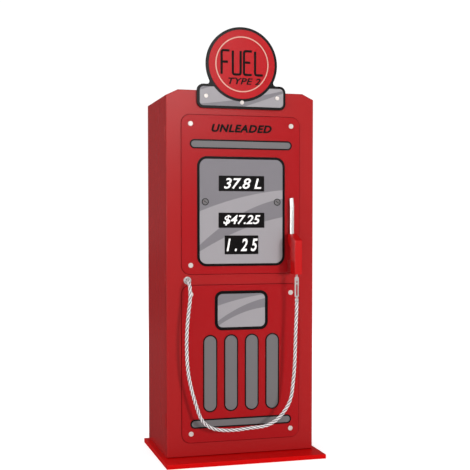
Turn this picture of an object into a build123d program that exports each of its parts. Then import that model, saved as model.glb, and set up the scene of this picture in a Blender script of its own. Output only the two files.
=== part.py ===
"""A decorative fuel-pump cabinet: lacquered boards behind a door that is dressed as a fuel pump.

The origin is the centre of the base board's underside, +Z is up, and the door faces -Y.
Every piece is its own solid, and all sizes are in millimetres.
"""

import os
from math import atan2, cos, pi, radians, sin, tan

from build123d import *

os.makedirs("parts", exist_ok=True)

# Cabinet
body_w = 618.0  # outside width
body_d = 388.0  # from the door's face to the back
shoulder_h = 1450.0  # from the base board up to the foot of the corner slopes
slope_w = 48.0  # the corner slopes' width
slope_h = 23.0  # and their rise
board_t = 18.0  # sides, top, slopes and bottom
base_t = 18.0
base_side = 22.0  # base board beyond each side
base_front = 105.0  # base board beyond the door
base_edge_r = 2.0
back_t = 6.0
rebate_w = 8.0  # how far the back panel laps over the boards
back_fit = 0.5  # gap round the back panel in its rebate
back_recess = 2.0  # the back panel's face inside the boards' rear edges
shelf_t = 18.0
shelf_end_gap = 1.0  # between a shelf's end and a side panel
shelf_setback = 14.0  # shelf's front behind the cabinet's front
shelf_floors = {"lower": 382.0, "middle": 745.0, "upper": 1109.0}  # undersides' heights
pin_r = 2.5  # shelf pins
pin_sunk = 10.0  # length in the side panel
pin_shown = 9.0  # length under the shelf
pin_in = 45.0  # from the shelf's front or back edge to its pins
pin_fit = 0.05
seat_gap = 0.05  # between a pin and the shelf on it

# Door and hinges
door_t = 18.0
door_gap = 3.0  # between the door and the cabinet's front edges
door_foot_gap = 1.5  # between the door and the base board
door_edge_r = 3.0
knuckle_r = 3.0
knuckle_h = 60.0  # the hinge's whole height
knuckle_break = 0.4  # gap between neighbouring knuckles
knuckle_room = 0.4  # gap round a knuckle in its notch
hinge_pin_r = 1.25
hinge_pin_fit = 0.05
leaf_t = 1.2
leaf_cabinet_w = 14.0
leaf_door_w = 22.0
leaf_lap = 1.0  # how far a knuckle's root runs into its leaf
leaf_start = 2.0  # a leaf starts this far inside the hinge line
hinge_margin = 150.0  # from the door's ends to the outer hinges' middles
leaf_screw_r = 1.6
leaf_screw_head_r = 2.9
leaf_screw_head_h = 1.2
leaf_screw_l = 13.0
leaf_screw_spread = 40.0  # between a leaf's two screws

# Catch
catch_w = 46.0
catch_h = 14.0
catch_d = 16.0
catch_side = 60.0  # from the right side panel's inner face to the catch's middle
catch_edge_r = 1.5
catch_proud = 1.2  # magnet's face in front of the cabinet's front
catch_screw_x = 17.0  # screws each side of the catch's middle
catch_screw_l = 12.0  # in the top
strike_t = 1.2
strike_w = 40.0
strike_h = 13.0
strike_r = 2.0

# Screws
fix_r = 2.0  # shank of the panel, sign, holder and display screws
fix_fit = 0.05  # round a shank in the board it grips
fix_loose = 0.3  # round a shank in a piece that it passes through
fix_l = 11.0  # shank in the door
fix_end = 1.0  # hole beyond the shank's end
panel_head_r = 10.0
panel_head_h = 3.0
sign_head_r = 8.5
display_head_r = 11.5
display_head_h = 1.6
holder_head_r = 4.0
holder_head_h = 2.2
dome_share = 0.7  # a head's rounding, of its height
slot_share = 1.3  # screwdriver slot's length, of the head's radius
slot_w = 2.2
slot_deep = 0.9
slot_turn = -35.0
base_screw_r = 2.5
base_screw_head_r = 5.0
base_screw_head_h = 2.5
base_screw_l = 33.0
base_screw_in = 40.0  # from the cabinet's front and back
base_screw_side = 60.0  # from the side panels
back_screw_r = 1.25
back_screw_head_r = 3.0
back_screw_head_h = 1.5
back_screw_l = 11.0
back_screw_low = 90.0  # lowest back screws above the base board
back_screw_high = 60.0  # highest ones below the shoulders
back_screw_count = 5  # up each side

# Panels on the door
panel_t = 4.0
panel_side = 61.0  # from the door's sides to the panels
panel_foot = 58.0  # from the base board's top to the lower panel
panel_top = 98.0  # from the upper panel to the door's top
panel_strip = 45.0  # door shown between the two panels
panel_r = 35.0
panel_edge = 1.0
panel_screw_x = 37.0  # screws in from the panels' sides
panel_screw_z = 36.0  # and from their ends
border_t = 2.0  # black borders on the panels
face_t = 1.5  # grey faces inside the borders
face_fit = 0.2
face_edge = 0.4

# Upper panel: display with three windows, and a pill-shaped trim
display_side = 63.5  # from the panel's sides to the display
display_foot = 31.0
display_top = 164.0
display_r = 40.0
display_border = 10.0
window_t = 1.0
windows = {"volume": (191.0, 62.0), "total": (193.0, 61.0), "price": (142.0, 76.0)}
window_gaps = (0.30, 0.39, 0.14)  # shares of the free height above each window
window_r = 2.0
display_screw_in = 33.0  # from the display's sides
trim_side = 34.0  # from the panel's sides to the trims
trim_h = 37.0
trim_border = 5.5
upper_trim_drop = 97.0  # from the upper panel's top to its trim
lower_trim_rise = 57.0  # from the lower panel's foot to its trim

# Lower panel: a small window over four upright slots
low_window_w = 224.0
low_window_h = 160.0
low_window_drop = 24.0
low_window_r = 32.0
low_window_border = 12.0
grille_count = 4
grille_w = 59.0
grille_pitch = 87.7
grille_border = 4.8
grille_above_trim = 27.0
grille_below_window = 17.0

# Sign
sign_t = 10.0
disc_r = 148.5
disc_rise = 107.0  # the disc's centre above the cabinet's top
disc_border = 11.0
disc_face_t = 2.0
ring_r = 111.0
ring_w = 4.5
ring_t = 0.8
plate_w = 370.0
plate_drop = 71.0  # plate's foot below the cabinet's top
plate_rise = 25.0  # plate's top above it
plate_r = 25.0
plate_border = 10.5
plate_face_r = 15.0
plate_face_t = 1.5
web_r = 12.0  # fillet between disc and plate
sign_screw_x = 149.0
sign_screw_drop = 23.0
sign_middle_screw_drop = 45.0
sign_edge = 0.8

# Hose (a laid rope), its eyelet in the door and the stop behind it
rope_d = 14.0
rope_side = 24.0  # from the panels' left side in to the eyelet
rope_drop = 2.5  # eyelet under the middle of the strip between the panels
eyelet_room = 1.0  # round the rope in the eyelet
eyelet_wall = 2.0
eyelet_flange_w = 5.5  # flange beyond the eyelet's wall
eyelet_flange_t = 3.5
eyelet_edge = 1.6
eyelet_fit = 0.1
stop_over = 3.0  # the stop beyond the eyelet's wall
stop_t = 12.0
stop_gap = 0.3  # between the stop's stem and the eyelet
stem_front = 11.0  # the stem's end, from the door's back
bend_share = 0.45  # a bend's tangent, of the shorter run beside it
rope_route = [
    (-224.0, -134.5, 732.0),
    (-224.0, -160.2, 732.0),
    (-224.5, -182.5, 719.0),
    (-225.0, -195.0, 696.0),
    (-225.0, -196.5, 660.0),
    (-232.5, -195.5, 605.0),
    (-239.0, -195.0, 535.0),
    (-240.0, -194.5, 450.0),
    (-235.5, -195.0, 372.0),
    (-221.0, -196.0, 300.0),
    (-200.0, -197.5, 228.0),
    (-182.5, -199.0, 178.0),
    (-150.0, -200.5, 146.0),
    (-105.0, -203.0, 133.0),
    (-45.0, -207.0, 130.5),
    (25.0, -212.0, 138.0),
    (80.0, -215.5, 141.0),
    (125.0, -218.5, 161.0),
    (165.0, -220.5, 204.0),
    (188.5, -222.0, 250.0),
    (196.5, -223.0, 318.0),
    (203.0, -223.5, 395.0),
    (204.5, -224.5, 480.0),
    (207.5, -223.5, 555.0),
    (210.0, -223.5, 612.0),
    (210.0, -223.5, 643.7),
]

# Nozzle, hanging in its holder
nozzle_side = 38.0  # from the panel's right side to the nozzle's middle
nozzle_w = 31.0
nozzle_foot = -2.0  # nozzle's foot from the upper panel's foot
nozzle_h = 163.0  # foot to the head's top
nozzle_slant = 26.0  # head's top slopes down by this much to the front
nozzle_front = 104.0  # front face from the door's face
grip_back = 47.0  # grip's back from the door's face
head_back = 11.0  # head's back from the door's face
head_flat = 38.0  # level part of the head's top ends here
head_chin = 131.0  # head's back ends at this height
head_taper = 15.0  # and slopes in by this much
head_lip = 9.0
nozzle_corner = 4.5
nozzle_edge = 3.0
spout_out = 21.5  # spout's axis from the door's face
spout_r = 8.3
spout_wall = 1.2
spout_sunk = 25.0
spout_h = 144.0  # shown above the head
spout_straight = 106.0  # straight part above the head
spout_bend_r = 60.0
spout_lean = radians(12.0)
spout_fit = 0.05
trigger_w = 12.0
trigger_t = 7.0
trigger_edge = 1.2
trigger_room = 1.5  # in the slot, on each side
trigger_pivot = (37.0, 122.0)  # out from the door's face, up from the nozzle's foot
trigger_hub_r = 5.5
trigger_line = [(37.0, 122.0), (30.0, 96.0), (33.5, 70.0), (45.0, 47.0), (58.0, 34.0)]
trigger_pin_r = 2.0
trigger_pin_fit = 0.05
trigger_pin_l = 27.0
pin_grip_fit = 0.02  # round a pin or a wire in the piece that grips it
trigger_slot_foot = 28.0
trigger_slot_top = 129.0
trigger_slot_front = 76.0
trigger_slot_back = 29.0  # the slot stays this far out inside the head
spring_t = 0.8
spring_w = 8.0
spring_line = [(75.6, 112.0), (75.6, 124.0), (60.0, 126.0), (46.0, 118.0), (41.5, 107.0)]

# Holder: a T-shaped tongue that the grip's slot drops over
holder_w = 24.0
holder_t = 3.0
holder_h = 50.0
holder_r = 3.0
holder_foot = 5.0  # above the nozzle's foot
arm_w = 6.0
arm_h = 8.0
tongue_w = 14.0
tongue_t = 7.0
tongue_h = 19.0
tongue_out = 54.0  # tongue's back from the door's face
holder_fit = 0.4  # round the arm and the tongue in the grip
holder_screw_low = 25.0  # above the holder's foot
holder_screw_high = 41.0

# Staple and snap hook under the grip
staple_out = 82.0  # from the door's face
staple_r = 7.0
staple_wire_r = 1.5
staple_drop = 28.0  # wire's lowest centre under the nozzle's foot
staple_sunk = 10.0
hook_w = 17.0
hook_t = 6.0
hook_edge = 1.5
hook_above_eye = 17.2
hook_l = 87.0
hook_bar = 5.2
hook_eye_r = 4.2
hook_hang = 1.0  # gap between the staple's wire and the eye it carries
hook_slot_top = 31.5  # from the hook's top to its long slot
gate_foot = 14.0  # gate's gap, from the hook's foot
gate_top = 48.0
gate_w = 4.4
gate_t = 5.0
gate_gap = 0.8  # at each end of the gate
gate_tongue_t = 2.4
gate_pivot = 11.5  # above the hook's foot
gate_pin_r = 0.8
gate_pin_fit = 0.05
fork_t = 3.2
fork_floor = 8.4
gate_edge = 1.0
ferrule_wall = 0.8  # round the rope
ferrule_h = 13.0
ferrule_drop = 2.5  # under the hook's foot
ferrule_edge = 1.5
ferrule_ring_r = 6.4
ferrule_ring_bore = 4.5
ferrule_ring_w = 4.0

# Places worked out from the sizes
base_w = body_w + 2 * base_side
base_d = body_d + base_front
half_w = body_w / 2
back_y = base_d / 2
door_y = back_y - body_d  # the door's face
door_back_y = door_y + door_t
front_y = door_back_y + door_gap  # the cabinet's front edges
hinge_y = door_back_y + door_gap / 2
shoulder_z = base_t + shoulder_h
top_z = shoulder_z + slope_h
slope_angle = atan2(slope_h, slope_w)
door_foot_z = base_t + door_foot_gap
panel_half = half_w - panel_side
panel_h = (top_z - base_t - panel_foot - panel_top - panel_strip) / 2
lower_foot = base_t + panel_foot
lower_top = lower_foot + panel_h
upper_foot = lower_top + panel_strip
upper_top = upper_foot + panel_h
panel_y = door_y - panel_t  # the panels' faces
face_y = panel_y - face_t  # the grey faces' fronts
shelf_end = half_w - board_t - shelf_end_gap
shelf_y0 = front_y + shelf_setback
back_face_y = back_y - back_recess
shelf_y1 = back_face_y - back_t
nozzle_x = panel_half - nozzle_side
nozzle_z = upper_foot + nozzle_foot
holder_z = nozzle_z + holder_foot
rope_x = -panel_half + rope_side
rope_z = (lower_top + upper_foot) / 2 - rope_drop
eyelet_bore_r = rope_d / 2 + eyelet_room
eyelet_r = eyelet_bore_r + eyelet_wall
eyelet_flange_r = eyelet_r + eyelet_flange_w
stop_r = eyelet_r + stop_over
ferrule_r = rope_d / 2 + ferrule_wall


def facing(y):
    """The upright plane at depth y, facing the front, with sketches in (x, z)."""
    return Plane.XZ.offset(-y)


def section(inset, foot):
    """Corners of the cabinet's outline stepped in by inset, from height foot, anticlockwise."""
    side = half_w - inset
    shoulder = shoulder_z - inset * tan(pi / 4 - slope_angle / 2)
    flat = half_w - slope_w - inset * tan(slope_angle / 2)
    right = [(side, foot), (side, shoulder), (flat, top_z - inset)]
    return right + [(-x, z) for x, z in reversed(right)]


def block(x, y, z, mode=Mode.ADD):
    """Adds or cuts a box that spans the given x, y and z pairs."""
    with Locations(((x[0] + x[1]) / 2, (y[0] + y[1]) / 2, (z[0] + z[1]) / 2)):
        Box(x[1] - x[0], y[1] - y[0], z[1] - z[0], mode=mode)


def drill(spots, radius, y, depth):
    """Drills the part backwards from depth y, at (x, z) spots."""
    with BuildSketch(facing(y)) as holes:
        with Locations(*spots):
            Circle(radius)
    extrude(holes.sketch, amount=-depth, mode=Mode.SUBTRACT)


def slotted_screws(label, spots, y, head_r, head_h, shank_l):
    """Makes a group of slotted screws whose domed heads seat at depth y, at (x, z) spots."""
    with BuildPart() as group:
        with BuildSketch(facing(y)):
            with Locations(*spots):
                Circle(head_r)
        extrude(amount=head_h)
        fillet(group.edges().group_by(Axis.Y)[0], head_h * dome_share)
        with BuildSketch(facing(y)):
            with Locations(*spots):
                Circle(fix_r)
        extrude(amount=-shank_l)
        with BuildSketch(facing(y - head_h)):
            with Locations(*spots):
                SlotOverall(head_r * slot_share, slot_w, rotation=slot_turn)
        extrude(amount=-slot_deep, mode=Mode.SUBTRACT)
    finish(group, label)


def finish(piece, label):
    """Labels a finished piece and writes it."""
    piece.part.label = label
    export_step(piece.part, f"parts/{label}.step")


# ---------------------------------------------------------------- cabinet

base_spots = [
    (x, y, 0.0)
    for x in (-half_w + board_t + base_screw_side, half_w - board_t - base_screw_side)
    for y in (front_y + base_screw_in, (front_y + back_y) / 2, back_y - back_t - base_screw_in)
]


def base_screw_shape(room, mode):
    """Adds or cuts the countersunk screws that rise through the base board."""
    up = (Align.CENTER, Align.CENTER, Align.MIN)
    with Locations(*base_spots):
        Cylinder(base_screw_r + room, base_screw_l + room, align=up, mode=mode)
        Cone(base_screw_head_r + room, base_screw_r + room, base_screw_head_h, align=up, mode=mode)


with BuildPart() as base_board:
    Box(base_w, base_d, base_t, align=(Align.CENTER, Align.CENTER, Align.MIN))
    fillet(base_board.faces().sort_by(Axis.Z)[-1].edges(), base_edge_r)
    base_screw_shape(fix_fit, Mode.SUBTRACT)
finish(base_board, "base_board")

with BuildPart() as base_screws:
    base_screw_shape(0.0, Mode.ADD)
finish(base_screws, "base_screws")

back_outline = section(board_t - rebate_w + back_fit, base_t + board_t - rebate_w + back_fit)
back_x = half_w - board_t + rebate_w / 2
back_z0 = base_t + back_screw_low
back_step = (shoulder_z - back_screw_high - back_z0) / (back_screw_count - 1)
back_spots = [(x, back_z0 + i * back_step) for x in (-back_x, back_x) for i in range(back_screw_count)]


def back_screw_holes():
    """Drills for the back panel's screws, from the rear."""
    with BuildSketch(facing(back_face_y)) as holes:
        with Locations(*back_spots):
            Circle(back_screw_r + fix_fit)
    extrude(holes.sketch, amount=back_screw_l + fix_fit, mode=Mode.SUBTRACT)


catch_x = half_w - board_t - catch_side - catch_w / 2
catch_z = top_z - board_t
catch_face_y = front_y - catch_proud
catch_spots = [
    (catch_x + dx, catch_face_y + catch_d / 2, catch_z - catch_h)
    for dx in (-catch_screw_x, catch_screw_x)
]


def catch_screw_shape(room, mode):
    """Adds or cuts the two screws that hold the catch up under the top."""
    with Locations(*catch_spots):
        Cylinder(
            leaf_screw_r + room,
            catch_h + catch_screw_l + room,
            align=(Align.CENTER, Align.CENTER, Align.MIN),
            mode=mode,
        )


shell_outer = section(0.0, base_t)
shell_inner = section(board_t, base_t)
shell_names = ["side_panel_right", "top_slope_right", "top_panel", "top_slope_left", "side_panel_left"]
rebate = section(board_t - rebate_w, base_t + board_t - rebate_w)


def cut_rebate():
    """Cuts the back panel's rebate out of the part."""
    with BuildSketch(facing(back_y)) as lap:
        Polygon(*rebate, align=None)
    extrude(lap.sketch, amount=back_t + back_recess, mode=Mode.SUBTRACT)


def pin_spots(side):
    """Places of the shelf pins' axes on one side panel's inner face."""
    depths = (shelf_y0 + pin_in, shelf_y1 - pin_in)
    heights = [floor - pin_r - seat_gap for floor in shelf_floors.values()]
    face = side * (half_w - board_t)
    return [Location((face, y, z), (0, 90 * side, 0)) for y in depths for z in heights]


def hinge_heights():
    """Heights of the three hinges' middles."""
    low = door_foot_z + hinge_margin
    high = shoulder_z - hinge_margin
    return (low, (low + high) / 2, high)


def knuckle(z0, z1, radius, mode=Mode.ADD):
    """Adds or cuts an upright round on the hinge line between two heights."""
    with Locations((-half_w, hinge_y, (z0 + z1) / 2)):
        Cylinder(radius, z1 - z0, mode=mode)


def cut_knuckle_notches():
    """Cuts room for the hinges' knuckles in a board's corner."""
    for z in hinge_heights():
        reach = knuckle_h / 2 + knuckle_room
        knuckle(z - reach, z + reach, knuckle_r + knuckle_room, Mode.SUBTRACT)


def leaf_screw_spots(width):
    """Places of the screws in the leaves of one width, as (x, z)."""
    x = -half_w + leaf_start + width / 2
    return [(x, z + up) for z in hinge_heights() for up in (-leaf_screw_spread / 2, leaf_screw_spread / 2)]


cabinet_leaf_spots = leaf_screw_spots(leaf_cabinet_w)
door_leaf_spots = leaf_screw_spots(leaf_door_w)

for i, name in enumerate(shell_names):
    with BuildPart() as board:
        with BuildSketch(facing(back_y)):
            Polygon(shell_outer[i], shell_outer[i + 1], shell_inner[i + 1], shell_inner[i], align=None)
        extrude(amount=back_y - front_y)
        cut_rebate()
        if name == "top_panel":
            catch_screw_shape(fix_fit, Mode.SUBTRACT)
        if name == "side_panel_left":
            cut_knuckle_notches()
            drill(cabinet_leaf_spots, leaf_screw_r + fix_fit, front_y, leaf_screw_l)
        if name.startswith("side_panel"):
            side = 1 if name.endswith("right") else -1
            with Locations(*pin_spots(side)):
                Cylinder(pin_r + pin_fit, 2 * (pin_sunk + pin_fit), mode=Mode.SUBTRACT)
            back_screw_holes()
    finish(board, name)

with BuildPart() as shelf_pins:
    for side in (-1, 1):
        with Locations(*pin_spots(side)):
            Cylinder(pin_r, pin_sunk, align=(Align.CENTER, Align.CENTER, Align.MIN))
            Cylinder(pin_r, pin_shown, align=(Align.CENTER, Align.CENTER, Align.MAX))
finish(shelf_pins, "shelf_pins")

with BuildPart() as bottom_panel:
    inner = half_w - board_t
    block((-inner, inner), (front_y, back_y), (base_t, base_t + board_t))
    cut_rebate()
    base_screw_shape(fix_fit, Mode.SUBTRACT)
finish(bottom_panel, "bottom_panel")

for name, floor in shelf_floors.items():
    with BuildPart() as shelf:
        block((-shelf_end, shelf_end), (shelf_y0, shelf_y1), (floor, floor + shelf_t))
        fillet(shelf.faces().sort_by(Axis.Y)[0].edges().filter_by(Axis.X), base_edge_r)
    finish(shelf, f"shelf_{name}")

with BuildPart() as back_panel:
    with BuildSketch(facing(back_face_y)):
        Polygon(*back_outline, align=None)
    extrude(amount=back_t)
    back_screw_holes()
finish(back_panel, "back_panel")

with BuildPart() as back_panel_screws:
    with BuildSketch(facing(back_face_y)):
        with Locations(*back_spots):
            Circle(back_screw_r)
    extrude(amount=back_screw_l)
    with BuildSketch(facing(back_face_y)):
        with Locations(*back_spots):
            Circle(back_screw_head_r)
    extrude(amount=-back_screw_head_h)
finish(back_panel_screws, "back_panel_screws")

# Magnetic catch under the top, and its strike plate on the door
with BuildPart() as magnetic_catch:
    block(
        (catch_x - catch_w / 2, catch_x + catch_w / 2),
        (catch_face_y, catch_face_y + catch_d),
        (catch_z - catch_h, catch_z),
    )
    fillet(magnetic_catch.edges().filter_by(Axis.Z), catch_edge_r)
    catch_screw_shape(fix_fit, Mode.SUBTRACT)
finish(magnetic_catch, "magnetic_catch")

with BuildPart() as catch_screws:
    catch_screw_shape(0.0, Mode.ADD)
    with Locations(*catch_spots):
        Cylinder(leaf_screw_head_r, leaf_screw_head_h, align=(Align.CENTER, Align.CENTER, Align.MAX))
finish(catch_screws, "catch_screws")

with BuildPart() as catch_plate:
    with BuildSketch(facing(door_back_y + strike_t)):
        with Locations((catch_x, catch_z - catch_h / 2)):
            RectangleRounded(strike_w, strike_h, strike_r)
    extrude(amount=strike_t)
finish(catch_plate, "catch_plate")

# ------------------------------------------------------------------ hinges

knuckle_step = knuckle_h / 3


def leaf(width, back, segments):
    """Adds the three leaves of one side, each with its share of the knuckles.

    back is the depth of a leaf's rear face, and segments are the thirds of the height that it carries.
    """
    for z in hinge_heights():
        low = z - knuckle_h / 2
        x0 = -half_w + leaf_start
        block((x0, x0 + width), (back - leaf_t, back), (low, low + knuckle_h))
        for k in segments:
            z0 = low + k * knuckle_step + (knuckle_break / 2 if k else 0)
            z1 = low + (k + 1) * knuckle_step - (knuckle_break / 2 if k < 2 else 0)
            knuckle(z0, z1, knuckle_r)
            block((-half_w, x0 + leaf_lap), (back - leaf_t, back), (z0, z1))
        for k in {0, 1, 2} - set(segments):
            z0 = low + k * knuckle_step - knuckle_break / 2
            z1 = low + (k + 1) * knuckle_step + knuckle_break / 2
            knuckle(z0, z1, knuckle_r + knuckle_room, Mode.SUBTRACT)
    reach = knuckle_h / 2
    for z in hinge_heights():
        knuckle(z - reach, z + reach, hinge_pin_r + hinge_pin_fit, Mode.SUBTRACT)


with BuildPart() as hinge_leaves_cabinet:
    leaf(leaf_cabinet_w, front_y, (0, 2))
    drill(cabinet_leaf_spots, leaf_screw_r + fix_fit, front_y - leaf_t, leaf_t)
finish(hinge_leaves_cabinet, "hinge_leaves_cabinet")


def leaf_screws(label, spots, y, inward):
    """Makes the flush screws of one side's leaves. inward is 1 into the cabinet, -1 into the door."""
    with BuildPart() as group:
        with BuildSketch(facing(y - inward * leaf_t)):
            with Locations(*spots):
                Circle(leaf_screw_r)
        extrude(amount=-inward * (leaf_screw_l - leaf_screw_r))
    finish(group, label)


leaf_screws("hinge_screws_cabinet", cabinet_leaf_spots, front_y, 1)

with BuildPart() as hinge_leaves_door:
    leaf(leaf_door_w, door_back_y + leaf_t, (1,))
    drill(door_leaf_spots, leaf_screw_r + fix_fit, door_back_y, leaf_t)
finish(hinge_leaves_door, "hinge_leaves_door")
leaf_screws("hinge_screws_door", door_leaf_spots, door_back_y, -1)

with BuildPart() as hinge_pins:
    for z in hinge_heights():
        knuckle(z - knuckle_h / 2, z + knuckle_h / 2, hinge_pin_r)
finish(hinge_pins, "hinge_pins")

# -------------------------------------------------------------------- door

panel_x = panel_half - panel_screw_x
lower_heights = (lower_foot + panel_screw_z, lower_top - panel_screw_z)
lower_spots = [(x, z) for x in (-panel_x, panel_x) for z in lower_heights]
upper_spots = [(x, upper_top - panel_screw_z) for x in (-panel_x, panel_x)]
upper_spots.append((-panel_x, upper_foot + panel_screw_z))
holder_spots = [(nozzle_x, holder_z + z) for z in (holder_screw_low, holder_screw_high)]
sign_spots = [(x, top_z - sign_screw_drop) for x in (-sign_screw_x, sign_screw_x)]
sign_spots.append((0.0, top_z - sign_middle_screw_drop))

display_w = 2 * (panel_half - display_side)
display_z0 = upper_foot + display_foot
display_z1 = upper_top - display_top
display_free = display_z1 - display_z0 - 2 * display_border - sum(h for w, h in windows.values())
window_places = {}
window_z = display_z1 - display_border
for (name, (w, h)), share in zip(windows.items(), window_gaps):
    window_z -= share * display_free
    window_places[name] = (w, h, window_z - h / 2)
    window_z -= h
volume_foot = window_places["volume"][2] - windows["volume"][1] / 2
total_top = window_places["total"][2] + windows["total"][1] / 2
display_screw_x = display_w / 2 - display_screw_in
display_spots = [(x, (volume_foot + total_top) / 2) for x in (-display_screw_x, display_screw_x)]
door_spots = lower_spots + upper_spots + holder_spots + sign_spots + display_spots

with BuildPart() as front_door:
    with BuildSketch(facing(door_back_y)):
        Polygon(*section(0.0, door_foot_z), align=None)
    extrude(amount=door_t)
    fillet(front_door.faces().sort_by(Axis.Y)[0].edges(), door_edge_r)
    cut_knuckle_notches()
    drill(door_leaf_spots, leaf_screw_r + fix_fit, door_back_y, -leaf_screw_l)
    drill(door_spots, fix_r + fix_fit, door_y, fix_l + fix_end)
    drill([(rope_x, rope_z)], eyelet_r + eyelet_fit, door_y, door_t)
finish(front_door, "front_door")


def door_panel(label, foot, spots):
    """Makes one of the two screwed panels on the door."""
    with BuildPart() as panel:
        with BuildSketch(facing(door_y)):
            with Locations((0, foot + panel_h / 2)):
                RectangleRounded(2 * panel_half, panel_h, panel_r)
        extrude(amount=panel_t)
        fillet(panel.faces().sort_by(Axis.Y)[0].edges(), panel_edge)
        drill(spots, fix_r + fix_loose, panel_y, panel_t)
    finish(panel, label)


door_panel("lower_panel", lower_foot, lower_spots)
door_panel("upper_panel", upper_foot, upper_spots + holder_spots + display_spots)
slotted_screws(
    "panel_screws",
    lower_spots + upper_spots,
    panel_y,
    panel_head_r,
    panel_head_h,
    panel_t + fix_l,
)


def plate(w, h, r):
    """Returns a function that draws a rounded rectangle stepped in by an inset."""
    return lambda inset, mode: RectangleRounded(w - 2 * inset, h - 2 * inset, r - inset, mode=mode)


def pill(length, width, turn):
    """Returns a function that draws a pill shape stepped in by an inset."""
    return lambda inset, mode: SlotOverall(length - 2 * inset, width - 2 * inset, rotation=turn, mode=mode)


def bordered(labels, spots, outline, border, holes=()):
    """Makes a black border on a panel and the grey face inside it, at (x, z) spots."""
    with BuildPart() as rim:
        with BuildSketch(facing(panel_y)):
            with Locations(*spots):
                outline(0.0, Mode.ADD)
                outline(border, Mode.SUBTRACT)
        extrude(amount=border_t)
        fillet(rim.faces().group_by(Axis.Y)[0].edges(), face_edge)
    finish(rim, labels[0])
    with BuildPart() as inlay:
        with BuildSketch(facing(panel_y)):
            with Locations(*spots):
                outline(border + face_fit, Mode.ADD)
        extrude(amount=face_t)
        if holes:
            drill(holes, fix_r + fix_loose, face_y, face_t)
    finish(inlay, labels[1])


bordered(
    ("display_border", "display_face"),
    [(0, (display_z0 + display_z1) / 2)],
    plate(display_w, display_z1 - display_z0, display_r),
    display_border,
    display_spots,
)
for name, (w, h, z) in window_places.items():
    with BuildPart() as window:
        with BuildSketch(facing(face_y)):
            with Locations((0, z)):
                RectangleRounded(w, h, window_r)
        extrude(amount=window_t)
    finish(window, f"{name}_window")
slotted_screws(
    "display_screws",
    display_spots,
    face_y,
    display_head_r,
    display_head_h,
    face_t + panel_t + fix_l,
)

trim = pill(2 * (panel_half - trim_side), trim_h, 0)
upper_trim_z = upper_top - upper_trim_drop - trim_h / 2
lower_trim_z = lower_foot + lower_trim_rise + trim_h / 2
bordered(("upper_trim_border", "upper_trim_face"), [(0, upper_trim_z)], trim, trim_border)
bordered(("lower_trim_border", "lower_trim_face"), [(0, lower_trim_z)], trim, trim_border)

low_window_z = lower_top - low_window_drop - low_window_h / 2
bordered(
    ("lower_window_border", "lower_window_face"),
    [(0, low_window_z)],
    plate(low_window_w, low_window_h, low_window_r),
    low_window_border,
)
grille_z0 = lower_trim_z + trim_h / 2 + grille_above_trim
grille_z1 = low_window_z - low_window_h / 2 - grille_below_window
grille_x = [(i - (grille_count - 1) / 2) * grille_pitch for i in range(grille_count)]
bordered(
    ("grille_borders", "grille_faces"),
    [(x, (grille_z0 + grille_z1) / 2) for x in grille_x],
    pill(grille_z1 - grille_z0, grille_w, 90),
    grille_border,
)

# -------------------------------------------------------------------- sign

disc_z = top_z + disc_rise
plate_z = top_z + (plate_rise - plate_drop) / 2
plate_h = plate_rise + plate_drop
sign_y = door_y - sign_t
web_x = (disc_r**2 - (disc_rise - plate_rise) ** 2) ** 0.5

with BuildPart() as sign_board:
    with BuildSketch(facing(door_y)) as outline:
        with Locations((0, plate_z)):
            RectangleRounded(plate_w, plate_h, plate_r)
        with Locations((0, disc_z)):
            Circle(disc_r)
        corners = [outline.vertices().sort_by_distance((x, top_z + plate_rise))[0] for x in (-web_x, web_x)]
        fillet(corners, web_r)
    extrude(amount=sign_t)
    fillet(sign_board.faces().sort_by(Axis.Y)[0].edges(), sign_edge)
    drill(sign_spots, fix_r + fix_loose, sign_y, sign_t)
finish(sign_board, "sign_board")

with BuildPart() as sign_disc_face:
    with BuildSketch(facing(sign_y)):
        with Locations((0, disc_z)):
            Circle(disc_r - disc_border)
    extrude(amount=disc_face_t)
    fillet(sign_disc_face.faces().sort_by(Axis.Y)[0].edges(), face_edge)
finish(sign_disc_face, "sign_disc_face")

with BuildPart() as sign_ring:
    with BuildSketch(facing(sign_y - disc_face_t)):
        with Locations((0, disc_z)):
            Circle(ring_r)
            Circle(ring_r - ring_w, mode=Mode.SUBTRACT)
    extrude(amount=ring_t)
finish(sign_ring, "sign_ring")

with BuildPart() as sign_plate_face:
    with BuildSketch(facing(sign_y)):
        with Locations((0, plate_z)):
            RectangleRounded(plate_w - 2 * plate_border, plate_h - 2 * plate_border, plate_face_r)
        with Locations((0, disc_z)):
            Circle(disc_r, mode=Mode.SUBTRACT)
    extrude(amount=plate_face_t)
    drill(sign_spots, fix_r + fix_loose, sign_y - plate_face_t, plate_face_t)
finish(sign_plate_face, "sign_plate_face")
slotted_screws(
    "sign_screws",
    sign_spots,
    sign_y - plate_face_t,
    sign_head_r,
    panel_head_h,
    plate_face_t + sign_t + fix_l,
)

# ---------------------------------------------------- eyelet, stop and hose

with BuildPart() as rope_grommet:
    with BuildSketch(facing(door_y)):
        with Locations((rope_x, rope_z)):
            Circle(eyelet_flange_r)
    extrude(amount=eyelet_flange_t)
    with BuildSketch(facing(door_y)):
        with Locations((rope_x, rope_z)):
            Circle(eyelet_r)
    extrude(amount=-door_t)
    drill([(rope_x, rope_z)], eyelet_bore_r, door_y - eyelet_flange_t, door_t + eyelet_flange_t)
    front_rims = rope_grommet.edges().filter_by(GeomType.CIRCLE).group_by(Axis.Y)[0]
    fillet(front_rims, eyelet_edge)
finish(rope_grommet, "rope_grommet")

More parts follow.
